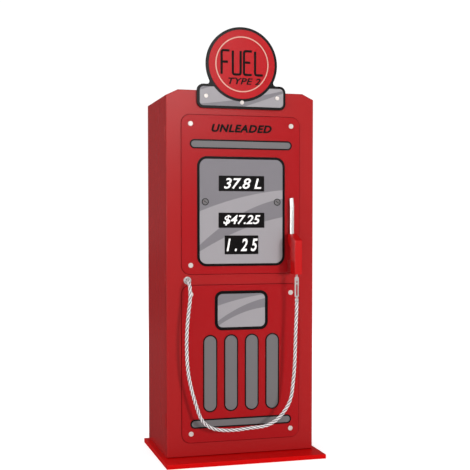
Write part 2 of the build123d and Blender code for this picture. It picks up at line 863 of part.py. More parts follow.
stem_y = door_back_y - stem_front
with BuildPart() as rope_stop:
    with BuildSketch(facing(door_back_y + stop_t)):
        with Locations((rope_x, rope_z)):
            Circle(stop_r)
    extrude(amount=stop_t)
    fillet(rope_stop.edges().filter_by(GeomType.CIRCLE), stop_t / 3)
    with BuildSketch(facing(door_back_y + stop_t / 2)):
        with Locations((rope_x, rope_z)):
            Circle(eyelet_bore_r - stop_gap)
    extrude(amount=stop_t / 2 + stem_front)
finish(rope_stop, "rope_stop")


def bend_radii(route):
    """Each corner's radius: the one whose tangent takes the bend's share of its shorter run."""
    places = [Vector(*point) for point in route]
    radii = []
    for a, b, c in zip(places, places[1:], places[2:]):
        half_turn = (b - a).get_angle(c - b) * pi / 360
        radii.append(bend_share * min((b - a).length, (c - b).length) / tan(half_turn))
    return radii


rope_radii = bend_radii(rope_route)
with BuildPart() as hose:
    with BuildLine() as rope_line:
        FilletPolyline(*rope_route, radius=rope_radii)
    with BuildSketch(Plane(origin=rope_route[0], z_dir=rope_line.line % 0)):
        Circle(rope_d / 2)
    sweep(path=rope_line.line)
finish(hose, "hose")
rope_length = sum(edge.length for edge in rope_line.edges())
rope_section = pi * rope_d**2 / 4
print("rope bend radii:", [round(r) for r in rope_radii])
print("rope length:", round(rope_length, 1), "volume share:", hose.part.volume / (rope_section * rope_length))

# ---------------------------------------------------------- nozzle's holder


def out(distance):
    """The depth of a point that stands this far out from the door's face."""
    return door_y - distance


def side_plane(x):
    """The upright plane at x, seen along -X, with sketches in (y, z)."""
    return Plane.YZ.offset(x)


def profile(points):
    """Row-frame (y, z) points from pairs of distance out and height above the nozzle's foot."""
    return [(out(distance), nozzle_z + height) for distance, height in points]


holder_y = panel_y - holder_t
with BuildPart() as nozzle_holder:
    with BuildSketch(facing(panel_y)):
        with Locations((nozzle_x, holder_z + holder_h / 2)):
            RectangleRounded(holder_w, holder_h, holder_r)
    extrude(amount=holder_t)
    tongue_front = out(tongue_out + tongue_t)
    block(
        (nozzle_x - arm_w / 2, nozzle_x + arm_w / 2),
        (tongue_front, holder_y),
        (holder_z, holder_z + arm_h),
    )
    block(
        (nozzle_x - tongue_w / 2, nozzle_x + tongue_w / 2),
        (tongue_front, out(tongue_out)),
        (holder_z, holder_z + tongue_h),
    )
    drill(holder_spots, fix_r + fix_loose, holder_y, holder_t)
finish(nozzle_holder, "nozzle_holder")
slotted_screws(
    "holder_screws",
    holder_spots,
    holder_y,
    holder_head_r,
    holder_head_h,
    holder_t + panel_t + fix_l,
)

# ------------------------------------------------------------------ nozzle

spout_y = out(spout_out)
head_top = nozzle_z + nozzle_h
pivot_y, pivot_z = profile([trigger_pivot])[0]
staple_y = out(staple_out)
staple_z = nozzle_z - staple_drop  # the wire's lowest centre


def staple_legs(radius, mode=Mode.ADD):
    """Adds or cuts the staple's two straight legs."""
    low = staple_z + staple_r
    with Locations(*[(nozzle_x, staple_y + y, low) for y in (-staple_r, staple_r)]):
        Cylinder(
            radius,
            nozzle_z + staple_sunk - low,
            align=(Align.CENTER, Align.CENTER, Align.MIN),
            mode=mode,
        )


with BuildPart() as nozzle_body:
    with BuildSketch(side_plane(nozzle_x - nozzle_w / 2)) as grip:
        Polygon(
            *profile(
                [
                    (grip_back, 0),
                    (nozzle_front, 0),
                    (nozzle_front, nozzle_h - nozzle_slant),
                    (head_flat, nozzle_h),
                    (head_back, nozzle_h),
                    (head_back, head_chin),
                    (head_back + head_taper, head_chin - head_taper),
                    (grip_back, head_chin - head_taper - head_lip),
                ]
            ),
            align=None,
        )
        fillet(grip.vertices(), nozzle_corner)
    extrude(amount=nozzle_w)
    fillet(nozzle_body.faces().filter_by(Axis.X).edges(), nozzle_edge)
    with Locations((nozzle_x, spout_y, head_top)):
        Cylinder(
            spout_r + spout_fit,
            spout_sunk,
            align=(Align.CENTER, Align.CENTER, Align.MAX),
            mode=Mode.SUBTRACT,
        )
    with BuildSketch(side_plane(nozzle_x - trigger_w / 2 - trigger_room)):
        Polygon(
            *profile(
                [
                    (head_back, trigger_slot_foot),
                    (trigger_slot_front, trigger_slot_foot),
                    (trigger_slot_front, trigger_slot_top),
                    (trigger_slot_back, trigger_slot_top),
                    (trigger_slot_back, head_chin - head_taper),
                    (head_back, head_chin - 2 * head_taper),
                ]
            ),
            align=None,
        )
    extrude(amount=trigger_w + 2 * trigger_room, mode=Mode.SUBTRACT)
    with Locations((nozzle_x, pivot_y, pivot_z)):
        Cylinder(trigger_pin_r + pin_grip_fit, trigger_pin_l, rotation=(0, 90, 0), mode=Mode.SUBTRACT)
    tongue_room = tongue_w / 2 + holder_fit
    arm_room = arm_w / 2 + holder_fit
    slot_top = holder_z + tongue_h + holder_fit
    front_of_tongue = out(tongue_out + tongue_t + holder_fit)
    back_of_tongue = out(tongue_out - holder_fit)
    with BuildSketch(Plane.XY.offset(slot_top)):
        with Locations((nozzle_x, (front_of_tongue + back_of_tongue) / 2)):
            Rectangle(2 * tongue_room, back_of_tongue - front_of_tongue)
        with Locations((nozzle_x, (front_of_tongue + out(head_back)) / 2)):
            Rectangle(2 * arm_room, out(head_back) - front_of_tongue)
    extrude(amount=-(slot_top - nozzle_z), mode=Mode.SUBTRACT)
    staple_legs(staple_wire_r + pin_grip_fit, Mode.SUBTRACT)
finish(nozzle_body, "nozzle_body")

bend_y = spout_bend_r * (1 - cos(spout_lean))
bend_z = spout_bend_r * sin(spout_lean)
half_y = spout_bend_r * (1 - cos(spout_lean / 2))
half_z = spout_bend_r * sin(spout_lean / 2)
straight_top = head_top + spout_straight
tip_run = (spout_h - spout_straight - bend_z) / cos(spout_lean)
with BuildPart() as spout:
    with BuildLine() as spout_line:
        Line((nozzle_x, spout_y, head_top - spout_sunk), (nozzle_x, spout_y, straight_top))
        ThreePointArc(
            (nozzle_x, spout_y, straight_top),
            (nozzle_x, spout_y + half_y, straight_top + half_z),
            (nozzle_x, spout_y + bend_y, straight_top + bend_z),
        )
        Line(
            (nozzle_x, spout_y + bend_y, straight_top + bend_z),
            (nozzle_x, spout_y + bend_y + tip_run * sin(spout_lean), head_top + spout_h),
        )
    with BuildSketch(Plane.XY.offset(head_top - spout_sunk)):
        with Locations((nozzle_x, spout_y)):
            Circle(spout_r)
            Circle(spout_r - spout_wall, mode=Mode.SUBTRACT)
    sweep(path=spout_line.line)
finish(spout, "spout")

with BuildPart() as nozzle_trigger:
    with BuildSketch(side_plane(nozzle_x - trigger_w / 2)):
        with BuildLine():
            Polyline(*profile(trigger_line))
        trace(line_width=trigger_t)
        with Locations(*profile(trigger_line)):
            Circle(trigger_t / 2)
        with Locations((pivot_y, pivot_z)):
            Circle(trigger_hub_r)
    extrude(amount=trigger_w)
    with Locations((nozzle_x, pivot_y, pivot_z)):
        Cylinder(trigger_pin_r + trigger_pin_fit, trigger_w, rotation=(0, 90, 0), mode=Mode.SUBTRACT)
    fillet(nozzle_trigger.faces().filter_by(Axis.X).edges().filter_by(GeomType.LINE), trigger_edge)
finish(nozzle_trigger, "nozzle_trigger")

with BuildPart() as trigger_pin:
    with Locations((nozzle_x, pivot_y, pivot_z)):
        Cylinder(trigger_pin_r, trigger_pin_l, rotation=(0, 90, 0))
finish(trigger_pin, "trigger_pin")

with BuildPart() as trigger_spring:
    with BuildSketch(side_plane(nozzle_x - spring_w / 2)):
        with BuildLine():
            Polyline(*profile(spring_line))
        trace(line_width=spring_t)
    extrude(amount=spring_w)
finish(trigger_spring, "trigger_spring")

with BuildPart() as nozzle_staple:
    staple_legs(staple_wire_r)
    with BuildLine() as staple_arc:
        ThreePointArc(
            (nozzle_x, staple_y - staple_r, staple_z + staple_r),
            (nozzle_x, staple_y, staple_z),
            (nozzle_x, staple_y + staple_r, staple_z + staple_r),
        )
    with BuildSketch(Plane.XY.offset(staple_z + staple_r)):
        with Locations((nozzle_x, staple_y - staple_r)):
            Circle(staple_wire_r)
    sweep(path=staple_arc.line)
finish(nozzle_staple, "nozzle_staple")

# --------------------------------------------------------------- snap hook

hook_top = staple_z + staple_wire_r + hook_hang + hook_above_eye
hook_foot = hook_top - hook_l
hook_front = staple_y - hook_t / 2
hook_back = staple_y + hook_t / 2
long_slot_foot = hook_foot + hook_bar
long_slot_top = hook_top - hook_slot_top
long_slot_w = hook_w - 2 * hook_bar
gate_x = nozzle_x + (hook_w - hook_bar) / 2
gate_z = hook_foot + gate_pivot

with BuildPart() as snap_hook:
    with BuildSketch(facing(hook_back)):
        with Locations((nozzle_x, (hook_foot + hook_top) / 2)):
            SlotOverall(hook_l, hook_w, rotation=90)
    extrude(amount=hook_t)
    fillet(snap_hook.faces().filter_by(Axis.Y).edges(), hook_edge)
    with BuildSketch(facing(hook_back)):
        with Locations((nozzle_x, (long_slot_foot + long_slot_top) / 2)):
            SlotOverall(long_slot_top - long_slot_foot, long_slot_w, rotation=90)
        with Locations((nozzle_x, hook_top - hook_above_eye - hook_eye_r)):
            Circle(hook_eye_r)
    extrude(amount=hook_t, mode=Mode.SUBTRACT)
    gap_x = (nozzle_x + long_slot_w / 2 - hook_edge, nozzle_x + hook_w)
    block(gap_x, (hook_front, hook_back), (hook_foot + gate_foot, hook_foot + gate_top), Mode.SUBTRACT)
    block(
        gap_x,
        (staple_y - fork_t / 2, staple_y + fork_t / 2),
        (hook_foot + fork_floor, hook_foot + gate_foot),
        Mode.SUBTRACT,
    )
    with Locations((gate_x, staple_y, gate_z)):
        Cylinder(gate_pin_r + pin_grip_fit, hook_t, rotation=(90, 0, 0), mode=Mode.SUBTRACT)
finish(snap_hook, "snap_hook")

with BuildPart() as snap_hook_gate:
    block(
        (gate_x - gate_w / 2, gate_x + gate_w / 2),
        (staple_y - gate_t / 2, staple_y + gate_t / 2),
        (hook_foot + gate_foot + gate_gap, hook_foot + gate_top - gate_gap),
    )
    fillet(snap_hook_gate.edges().filter_by(Axis.Z), gate_edge)
    block(
        (gate_x - gate_w / 2, gate_x + gate_w / 2),
        (staple_y - gate_tongue_t / 2, staple_y + gate_tongue_t / 2),
        (gate_z, hook_foot + gate_foot + 2 * gate_gap),
    )
    with Locations((gate_x, staple_y, gate_z)):
        Cylinder(gate_w / 2, gate_tongue_t, rotation=(90, 0, 0))
        Cylinder(gate_pin_r + gate_pin_fit, gate_tongue_t, rotation=(90, 0, 0), mode=Mode.SUBTRACT)
finish(snap_hook_gate, "snap_hook_gate")

with BuildPart() as gate_pin:
    with Locations((gate_x, staple_y, gate_z)):
        Cylinder(gate_pin_r, hook_t, rotation=(90, 0, 0))
finish(gate_pin, "gate_pin")

ferrule_top = hook_foot - ferrule_drop
with BuildPart() as rope_ferrule:
    with Locations((nozzle_x, staple_y, ferrule_top)):
        Cylinder(ferrule_r, ferrule_h, align=(Align.CENTER, Align.CENTER, Align.MAX))
    fillet(rope_ferrule.edges().filter_by(GeomType.CIRCLE), ferrule_edge)
    with Locations((nozzle_x, staple_y, hook_foot + hook_bar / 2)):
        Cylinder(ferrule_ring_r, ferrule_ring_w, rotation=(0, 90, 0))
        Cylinder(ferrule_ring_bore, ferrule_ring_w, rotation=(0, 90, 0), mode=Mode.SUBTRACT)
finish(rope_ferrule, "rope_ferrule")
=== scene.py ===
"""Looks for a tall red cabinet dressed as a fuel pump: finishes, lettering, hose, camera and studio."""

import logging
import math
from dataclasses import dataclass
from enum import Enum

import bmesh
import bpy
from mathutils import Matrix, Vector
from mathutils.kdtree import KDTree


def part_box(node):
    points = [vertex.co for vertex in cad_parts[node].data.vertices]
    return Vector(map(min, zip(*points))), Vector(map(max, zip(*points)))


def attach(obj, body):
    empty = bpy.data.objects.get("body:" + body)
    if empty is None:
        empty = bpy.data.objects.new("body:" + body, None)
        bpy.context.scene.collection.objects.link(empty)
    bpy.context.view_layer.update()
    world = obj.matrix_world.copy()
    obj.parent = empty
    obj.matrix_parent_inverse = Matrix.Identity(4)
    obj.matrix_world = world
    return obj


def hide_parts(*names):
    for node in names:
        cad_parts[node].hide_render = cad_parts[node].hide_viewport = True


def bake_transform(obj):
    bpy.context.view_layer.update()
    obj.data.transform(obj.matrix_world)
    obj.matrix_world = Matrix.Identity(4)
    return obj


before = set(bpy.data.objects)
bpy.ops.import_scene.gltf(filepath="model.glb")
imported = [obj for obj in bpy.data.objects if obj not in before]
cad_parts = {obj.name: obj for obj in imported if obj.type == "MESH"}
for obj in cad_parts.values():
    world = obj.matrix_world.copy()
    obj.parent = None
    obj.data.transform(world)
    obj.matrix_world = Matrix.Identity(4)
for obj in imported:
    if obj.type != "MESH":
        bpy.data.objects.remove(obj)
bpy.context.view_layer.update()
LOG = logging.getLogger("fuel_pump_cabinet")
BACKGROUND_WHITE = (1.0, 1.0, 1.0, 1.0)
WORD_RISE = 0.0016
Point = tuple[float, float, float]
Colour = tuple[float, float, float]
Node = bpy.types.Node
Socket = bpy.types.NodeSocket


class Body(Enum):
    """The moving bodies that the added pieces ride on."""

    DOOR = "door"
    NOZZLE = "nozzle"


class Side(Enum):
    """The four edges of a piece as it is seen from the front."""

    LEFT = "left"
    RIGHT = "right"
    FOOT = "foot"
    TOP = "top"


# ------------------------------------------------------------------ helpers


def edge_of(node: str, side: Side) -> float:
    """Where one edge of a frame node lies.

    Args:
        node: The frame node's name.
        side: Which edge is wanted.

    Returns:
        The edge's x or z, in metres.
    """
    low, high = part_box(node)
    return {Side.LEFT: low[0], Side.RIGHT: high[0], Side.FOOT: low[2], Side.TOP: high[2]}[side]


def front_of(node: str) -> float:
    """The depth of a frame node's foremost point, in metres."""
    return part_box(node)[0][1]


def place(name: str, mesh: bpy.types.Mesh, body: Body, slot: str) -> bpy.types.Object:
    """Puts a finished mesh into the scene and lets it ride on a body.

    Args:
        name: The piece's name.
        mesh: Its mesh, with its place in its points.
        body: The body that it moves with.
        slot: Not used.

    Returns:
        The new object, at the origin.
    """
    piece = bpy.data.objects.new(name, mesh)
    bpy.context.scene.collection.objects.link(piece)
    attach(piece, body.value)
    LOG.info("placed %s on the %s", name, body.value)
    return piece


def dress(piece: bpy.types.Object, material: bpy.types.Material) -> None:
    """Gives a piece one material in place of all that it has."""
    piece.data.materials.clear()
    piece.data.materials.append(material)


def dress_nodes(material: bpy.types.Material, *nodes: str) -> None:
    """Gives frame nodes a material by assigning it to their slots.

    Args:
        material: The finish.
        nodes: Names of frame nodes.
    """
    for name in nodes:
        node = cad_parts[name]
        for slot in node.material_slots:
            slot.material = material
        LOG.info("dressed %s with %s", name, material.name)


def mesh_of_curve(curve: bpy.types.Curve) -> bpy.types.Mesh:
    """Makes a mesh of a curve or text and removes the curve.

    Args:
        curve: The curve's data.

    Returns:
        A new mesh in the curve's own frame.
    """
    holder = bpy.data.objects.new("holder", curve)
    bpy.context.scene.collection.objects.link(holder)
    bpy.context.view_layer.update()
    graph = bpy.context.evaluated_depsgraph_get()
    mesh = bpy.data.meshes.new_from_object(holder.evaluated_get(graph))
    bpy.data.objects.remove(holder)
    return mesh


# ------------------------------------------------- shared shader node groups


def new_group(name: str, inputs: list[tuple[str, float]], output: tuple[str, str]) -> bpy.types.NodeTree:
    """Starts a shader node group with float inputs, a Vector input called Place and one output.

    Args:
        name: The group's name.
        inputs: Name and starting value of each float input.
        output: The output's name and socket type.

    Returns:
        The group's tree, with its input and output nodes in place.
    """
    tree = bpy.data.node_groups.new(name, "ShaderNodeTree")
    tree.interface.new_socket(name="Place", in_out="INPUT", socket_type="NodeSocketVector")
    for label, value in inputs:
        socket = tree.interface.new_socket(name=label, in_out="INPUT", socket_type="NodeSocketFloat")
        socket.default_value = value
    tree.interface.new_socket(name=output[0], in_out="OUTPUT", socket_type=output[1])
    tree.nodes.new("NodeGroupInput").name = "in"
    tree.nodes.new("NodeGroupOutput").name = "out"
    return tree


def maths(tree: bpy.types.NodeTree, kind: str, first: Socket | float, second: Socket | float = 0.0) -> Socket:
    """Adds a Math node.

    Args:
        tree: The tree that it goes in.
        kind: Its operation.
        first: A socket or a number.
        second: A socket or a number.

    Returns:
        Its result socket.
    """
    node = tree.nodes.new("ShaderNodeMath")
    node.operation = kind
    for slot, value in zip(node.inputs, (first, second)):
        if isinstance(value, (int, float)):
            slot.default_value = value
        else:
            tree.links.new(value, slot)
    return node.outputs[0]


class SharedGroups:
    """The node groups that more than one finish uses, built once."""

    def __init__(self) -> None:
        """Builds all the groups."""
        self.ripple = self.build_ripple()
        self.mottle = self.build_mottle()
        self.bands = self.build_bands()

    @staticmethod
    def build_ripple() -> bpy.types.NodeTree:
        """A normal with the faint ripple of a sprayed or moulded skin."""
        tree = new_group("skin_ripple", [("Scale", 300.0), ("Depth", 0.05)], ("Normal", "NodeSocketVector"))
        start = tree.nodes["in"]
        noise = tree.nodes.new("ShaderNodeTexNoise")
        noise.inputs["Detail"].default_value = 3.0
        bump = tree.nodes.new("ShaderNodeBump")
        bump.inputs["Distance"].default_value = 0.001
        tree.links.new(start.outputs["Place"], noise.inputs["Vector"])
        tree.links.new(start.outputs["Scale"], noise.inputs["Scale"])
        tree.links.new(noise.outputs["Fac"], bump.inputs["Height"])
        tree.links.new(start.outputs["Depth"], bump.inputs["Strength"])
        tree.links.new(bump.outputs["Normal"], tree.nodes["out"].inputs["Normal"])
        return tree

    @staticmethod
    def build_mottle() -> bpy.types.NodeTree:
        """A soft mask, from 0 to 1, that drifts over a surface in two sizes of patch."""
        tree = new_group("soft_mottle", [("Scale", 6.0), ("Contrast", 1.0)], ("Mask", "NodeSocketFloat"))
        start = tree.nodes["in"]
        large = tree.nodes.new("ShaderNodeTexNoise")
        large.inputs["Detail"].default_value = 5.0
        large.inputs["Roughness"].default_value = 0.55
        tree.links.new(start.outputs["Place"], large.inputs["Vector"])
        tree.links.new(start.outputs["Scale"], large.inputs["Scale"])
        centred = maths(tree, "SUBTRACT", large.outputs["Fac"], 0.5)
        spread = maths(tree, "MULTIPLY", centred, start.outputs["Contrast"])
        mask = maths(tree, "ADD", spread, 0.5)
        mask.node.use_clamp = True
        tree.links.new(mask, tree.nodes["out"].inputs["Mask"])
        return tree

    @staticmethod
    def build_bands() -> bpy.types.NodeTree:
        """A mask of two dark gloss bands: all above one curve, and all between two others.

        Each curve is a height over the piece's width: Base + Slope x + Bow x squared.
        """
        labels = [(f"{part} {i}", 0.0) for i in (1, 2, 3) for part in ("Base", "Slope", "Bow")]
        tree = new_group("gloss_bands", labels, ("Mask", "NodeSocketFloat"))
        start = tree.nodes["in"]
        split = tree.nodes.new("ShaderNodeSeparateXYZ")
        tree.links.new(start.outputs["Place"], split.inputs[0])
        x, z = split.outputs["X"], split.outputs["Z"]
        above = []
        for i in (1, 2, 3):
            bow = maths(tree, "MULTIPLY", start.outputs[f"Bow {i}"], maths(tree, "MULTIPLY", x, x))
            slope = maths(tree, "MULTIPLY", start.outputs[f"Slope {i}"], x)
            line = maths(tree, "ADD", start.outputs[f"Base {i}"], maths(tree, "ADD", slope, bow))
            above.append(maths(tree, "GREATER_THAN", z, line))
        between = maths(tree, "SUBTRACT", above[2], above[1])
        mask = maths(tree, "MAXIMUM", above[0], between)
        tree.links.new(mask, tree.nodes["out"].inputs["Mask"])
        return tree


GROUPS = SharedGroups()


class Recipe:
    """A material under construction: its tree, its Principled BSDF and its Object coordinates."""

    def __init__(self, name: str) -> None:
        """Starts a material.

        Args:
            name: The material's name.
        """
        self.material = bpy.data.materials.new(name)
        self.material.use_nodes = True
        self.tree = self.material.node_tree
        self.skin = self.tree.nodes["Principled BSDF"]
        self.place = self.tree.nodes.new("ShaderNodeTexCoord").outputs["Object"]

    def add_group(self, group: bpy.types.NodeTree, values: dict[str, float]) -> Node:
        """Places a shared group.

        Args:
            group: The group.
            values: A number for each of its inputs.

        Returns:
            The group's node, fed with Object coordinates.
        """
        node = self.tree.nodes.new("ShaderNodeGroup")
        node.node_tree = group
        self.tree.links.new(self.place, node.inputs["Place"])
        for label, value in values.items():
            node.inputs[label].default_value = value
        return node

    def blend_colours(self, mask: Socket, first: Colour, second: Colour) -> Socket:
        """Blends two colours by a mask and returns the result."""
        mix = self.tree.nodes.new("ShaderNodeMix")
        mix.data_type = "RGBA"
        self.tree.links.new(mask, mix.inputs["Factor"])
        mix.inputs["A"].default_value = (*first, 1.0)
        mix.inputs["B"].default_value = (*second, 1.0)
        return mix.outputs["Result"]

    def spread_value(self, mask: Socket, low: float, high: float) -> Socket:
        """Maps a mask from 0 to 1 onto a range and returns the result."""
        spread = self.tree.nodes.new("ShaderNodeMapRange")
        self.tree.links.new(mask, spread.inputs["Value"])
        spread.inputs["To Min"].default_value = low
        spread.inputs["To Max"].default_value = high
        return spread.outputs["Result"]

    def feed(self, socket: Socket, label: str) -> None:
        """Feeds one input of the Principled BSDF."""
        self.tree.links.new(socket, self.skin.inputs[label])


# ----------------------------------------------------------------- finishes


@dataclass(frozen=True)
class Gloss:
    """A glossy paint, lacquer or moulded skin with a slight drift in its colour.

    Attributes:
        name: The material's name.
        colour: Its main colour.
        drift: The colour that it drifts to in soft patches.
        roughness: Lowest and highest roughness.
        coat: Weight of the clear coat.
        ripple: Scale and depth of the skin's ripple.
        patch: Scale of the soft patches.
        specular: How strongly it mirrors at all.
    """

    name: str
    colour: Colour
    drift: Colour
    roughness: tuple[float, float] = (0.24, 0.28)
    coat: float = 0.0
    ripple: tuple[float, float] = (220.0, 0.02)
    patch: float = 5.0
    specular: float = 0.35

    def build(self) -> bpy.types.Material:
        """Builds the material and returns it."""
        recipe = Recipe(self.name)
        mottle = recipe.add_group(GROUPS.mottle, {"Scale": self.patch, "Contrast": 1.2}).outputs["Mask"]
        ripple = recipe.add_group(GROUPS.ripple, {"Scale": self.ripple[0], "Depth": self.ripple[1]})
        recipe.feed(recipe.blend_colours(mottle, self.colour, self.drift), "Base Color")
        recipe.feed(recipe.spread_value(mottle, *self.roughness), "Roughness")
        recipe.feed(ripple.outputs["Normal"], "Normal")
        recipe.skin.inputs["Coat Weight"].default_value = self.coat
        recipe.skin.inputs["Coat Roughness"].default_value = 0.05
        recipe.skin.inputs["Specular IOR Level"].default_value = self.specular
        return recipe.material


@dataclass(frozen=True)
class BandCurve:
    """A curve of a printed gloss band, given by its height at the left, middle and right of a half width.

    Attributes:
        reach: Distance from the middle to each side, in metres.
        left: Height at the left.
        middle: Height in the middle.
        right: Height at the right.
    """

    reach: float
    left: float
    middle: float
    right: float

    def terms(self) -> tuple[float, float, float]:
        """The curve's base, slope and bow."""
        slope = (self.right - self.left) / (2 * self.reach)
        bow = ((self.right + self.left) / 2 - self.middle) / self.reach**2
        return (self.middle, slope, bow)


@dataclass(frozen=True)
class BandedGrey:
    """A satin grey face with two darker diagonal bands, like painted reflections.

    Attributes:
        name: The material's name.
        light: The main grey.
        dark: The bands' grey.
        curves: The lower edge of the top band, then the upper and lower edges of the other.
    """

    name: str
    light: Colour
    dark: Colour
    curves: tuple[BandCurve, BandCurve, BandCurve]

    def build(self) -> bpy.types.Material:
        """Builds the material and returns it."""
        recipe = Recipe(self.name)
        values = {}
        for i, curve in enumerate(self.curves, start=1):
            for part, value in zip(("Base", "Slope", "Bow"), curve.terms()):
                values[f"{part} {i}"] = value
        bands = recipe.add_group(GROUPS.bands, values).outputs["Mask"]
        mottle = recipe.add_group(GROUPS.mottle, {"Scale": 9.0, "Contrast": 1.5}).outputs["Mask"]
        ripple = recipe.add_group(GROUPS.ripple, {"Scale": 500.0, "Depth": 0.04})
        recipe.feed(recipe.blend_colours(bands, self.light, self.dark), "Base Color")
        recipe.feed(recipe.spread_value(mottle, 0.30, 0.42), "Roughness")
        recipe.feed(ripple.outputs["Normal"], "Normal")
        recipe.skin.inputs["Specular IOR Level"].default_value = 0.3
        return recipe.material


@dataclass(frozen=True)
class BrightMetal:
    """Polished or plated metal with fine scuffs.

    Attributes:
        name: The material's name.
        colour: Its reflection's colour.
        roughness: Lowest and highest roughness.
        grain: Scale of the scuffs.
        metallic: How metallic it is, lower for a clouded plating.
    """

    name: str
    colour: Colour
    roughness: tuple[float, float]
    grain: float = 400.0
    metallic: float = 1.0

    def build(self) -> bpy.types.Material:
        """Builds the material and returns it."""
        recipe = Recipe(self.name)
        dull = tuple(0.82 * part for part in self.colour)
        mottle = recipe.add_group(GROUPS.mottle, {"Scale": 60.0, "Contrast": 2.0}).outputs["Mask"]
        ripple = recipe.add_group(GROUPS.ripple, {"Scale": self.grain, "Depth": 0.08})
        recipe.feed(recipe.blend_colours(mottle, self.colour, dull), "Base Color")
        recipe.feed(recipe.spread_value(mottle, *self.roughness), "Roughness")
        recipe.feed(ripple.outputs["Normal"], "Normal")
        recipe.skin.inputs["Metallic"].default_value = self.metallic
        return recipe.material


@dataclass(frozen=True)
class RopeFibre:
    """Silvery laid rope: bright yarns with fine fibres across them.

    Attributes:
        name: The material's name.
        bright: The yarns' colour.
        shade: The colour between the fibres.
    """

    name: str
    bright: Colour
    shade: Colour

    def build(self) -> bpy.types.Material:
        """Builds the material and returns it."""
        recipe = Recipe(self.name)
        fine = recipe.add_group(GROUPS.mottle, {"Scale": 900.0, "Contrast": 2.6}).outputs["Mask"]
        ripple = recipe.add_group(GROUPS.ripple, {"Scale": 1400.0, "Depth": 0.55})
        recipe.feed(recipe.blend_colours(fine, self.bright, self.shade), "Base Color")
        recipe.feed(recipe.spread_value(fine, 0.34, 0.52), "Roughness")
        recipe.feed(ripple.outputs["Normal"], "Normal")
        recipe.skin.inputs["Metallic"].default_value = 0.15
        recipe.skin.inputs["Sheen Weight"].default_value = 0.3
        return recipe.material


BLACK: Colour = (0.0050, 0.0040, 0.0045)
LIGHT_GREY: Colour = (0.300, 0.282, 0.297)
DARK_GREY: Colour = (0.184, 0.172, 0.188)


class Finishes:
    """Every finish of the cabinet, built once."""

    def __init__(self) -> None:
        """Builds the plain finishes. Banded ones are built by the pieces that wear them."""
        self.lacquer = Gloss("red_lacquer", (0.345, 0.0088, 0.0098), (0.334, 0.0078, 0.0088)).build()
        self.base_red = Gloss(
            "base_red",
            (0.545, 0.0018, 0.0018),
            (0.525, 0.0014, 0.0014),
            specular=0.08,
        ).build()
        self.panel_red = Gloss(
            "panel_red",
            (0.335, 0.0042, 0.0068),
            (0.322, 0.0036, 0.0058),
            specular=0.28,
        ).build()
        self.sign_red = Gloss(
            "sign_red",
            (0.400, 0.0055, 0.0095),
            (0.388, 0.0048, 0.0085),
            specular=0.2,
        ).build()
        self.nozzle_red = Gloss(
            "nozzle_red",
            (0.470, 0.0025, 0.0032),
            (0.455, 0.0020, 0.0026),
            specular=0.5,
        ).build()
        self.hinge_red = Gloss(
            "hinge_red",
            (0.33, 0.010, 0.011),
            (0.31, 0.008, 0.009),
            (0.3, 0.4),
        ).build()
        # Painted shadow: the dark red of the line round each panel's foot.
        self.edge_shadow_red = Gloss(
            "edge_shadow_red",
            (0.120, 0.0020, 0.0035),
            (0.100, 0.0015, 0.0030),
            specular=0.1,
        ).build()
        self.black = Gloss(
            "black_gloss",
            BLACK,
            (0.006, 0.005, 0.005),
            (0.24, 0.28),
            specular=0.2,
        ).build()
        self.letter_black = Gloss(
            "letter_black",
            BLACK,
            (0.007, 0.005, 0.005),
            (0.4, 0.5),
            specular=0.1,
        ).build()
        self.letter_white = Gloss(
            "letter_white",
            (0.92, 0.90, 0.88),
            (0.88, 0.85, 0.84),
            (0.4, 0.5),
        ).build()
        self.cream = Gloss("cream_line", (0.62, 0.33, 0.27), (0.56, 0.29, 0.23), (0.3, 0.4)).build()
        self.slot_grey = Gloss(
            "slot_grey",
            (0.148, 0.140, 0.143),
            (0.138, 0.130, 0.134),
            (0.32, 0.42),
        ).build()
        self.catch_white = Gloss(
            "catch_white",
            (0.74, 0.73, 0.70),
            (0.68, 0.67, 0.64),
            (0.4, 0.5),
        ).build()
        self.screw = BrightMetal("bright_screw", (0.84, 0.76, 0.72), (0.26, 0.36), metallic=0.35).build()
        self.zinc = BrightMetal("zinc", (0.60, 0.60, 0.57), (0.32, 0.46)).build()
        self.nickel = BrightMetal("nickel", (0.88, 0.86, 0.85), (0.16, 0.26), metallic=0.55).build()
        self.tube = BrightMetal("steel_tube", (0.93, 0.92, 0.91), (0.14, 0.22), 250.0, 0.45).build()
        self.rope = RopeFibre("silver_rope", (0.95, 0.93, 0.93), (0.66, 0.63, 0.64)).build()
        # Painted shade: a dark finish for the faces between the rope's strands.
        self.groove = RopeFibre("rope_groove_shade", (0.20, 0.17, 0.18), (0.10, 0.08, 0.09)).build()


# ----------------------------------------------------------------- lettering


@dataclass(frozen=True)
class LetterBox:
    """Where a line of letters goes.

    Attributes:
        left: Its left edge's x, in metres.
        right: Its right edge's x.
        foot: Its letters' foot.
        top: Its letters' top.
        depth: The depth of the surface that it stands on.
        rise: How far it stands out.
    """

    left: float
    right: float
    foot: float
    top: float
    depth: float
    rise: float = 0.0006


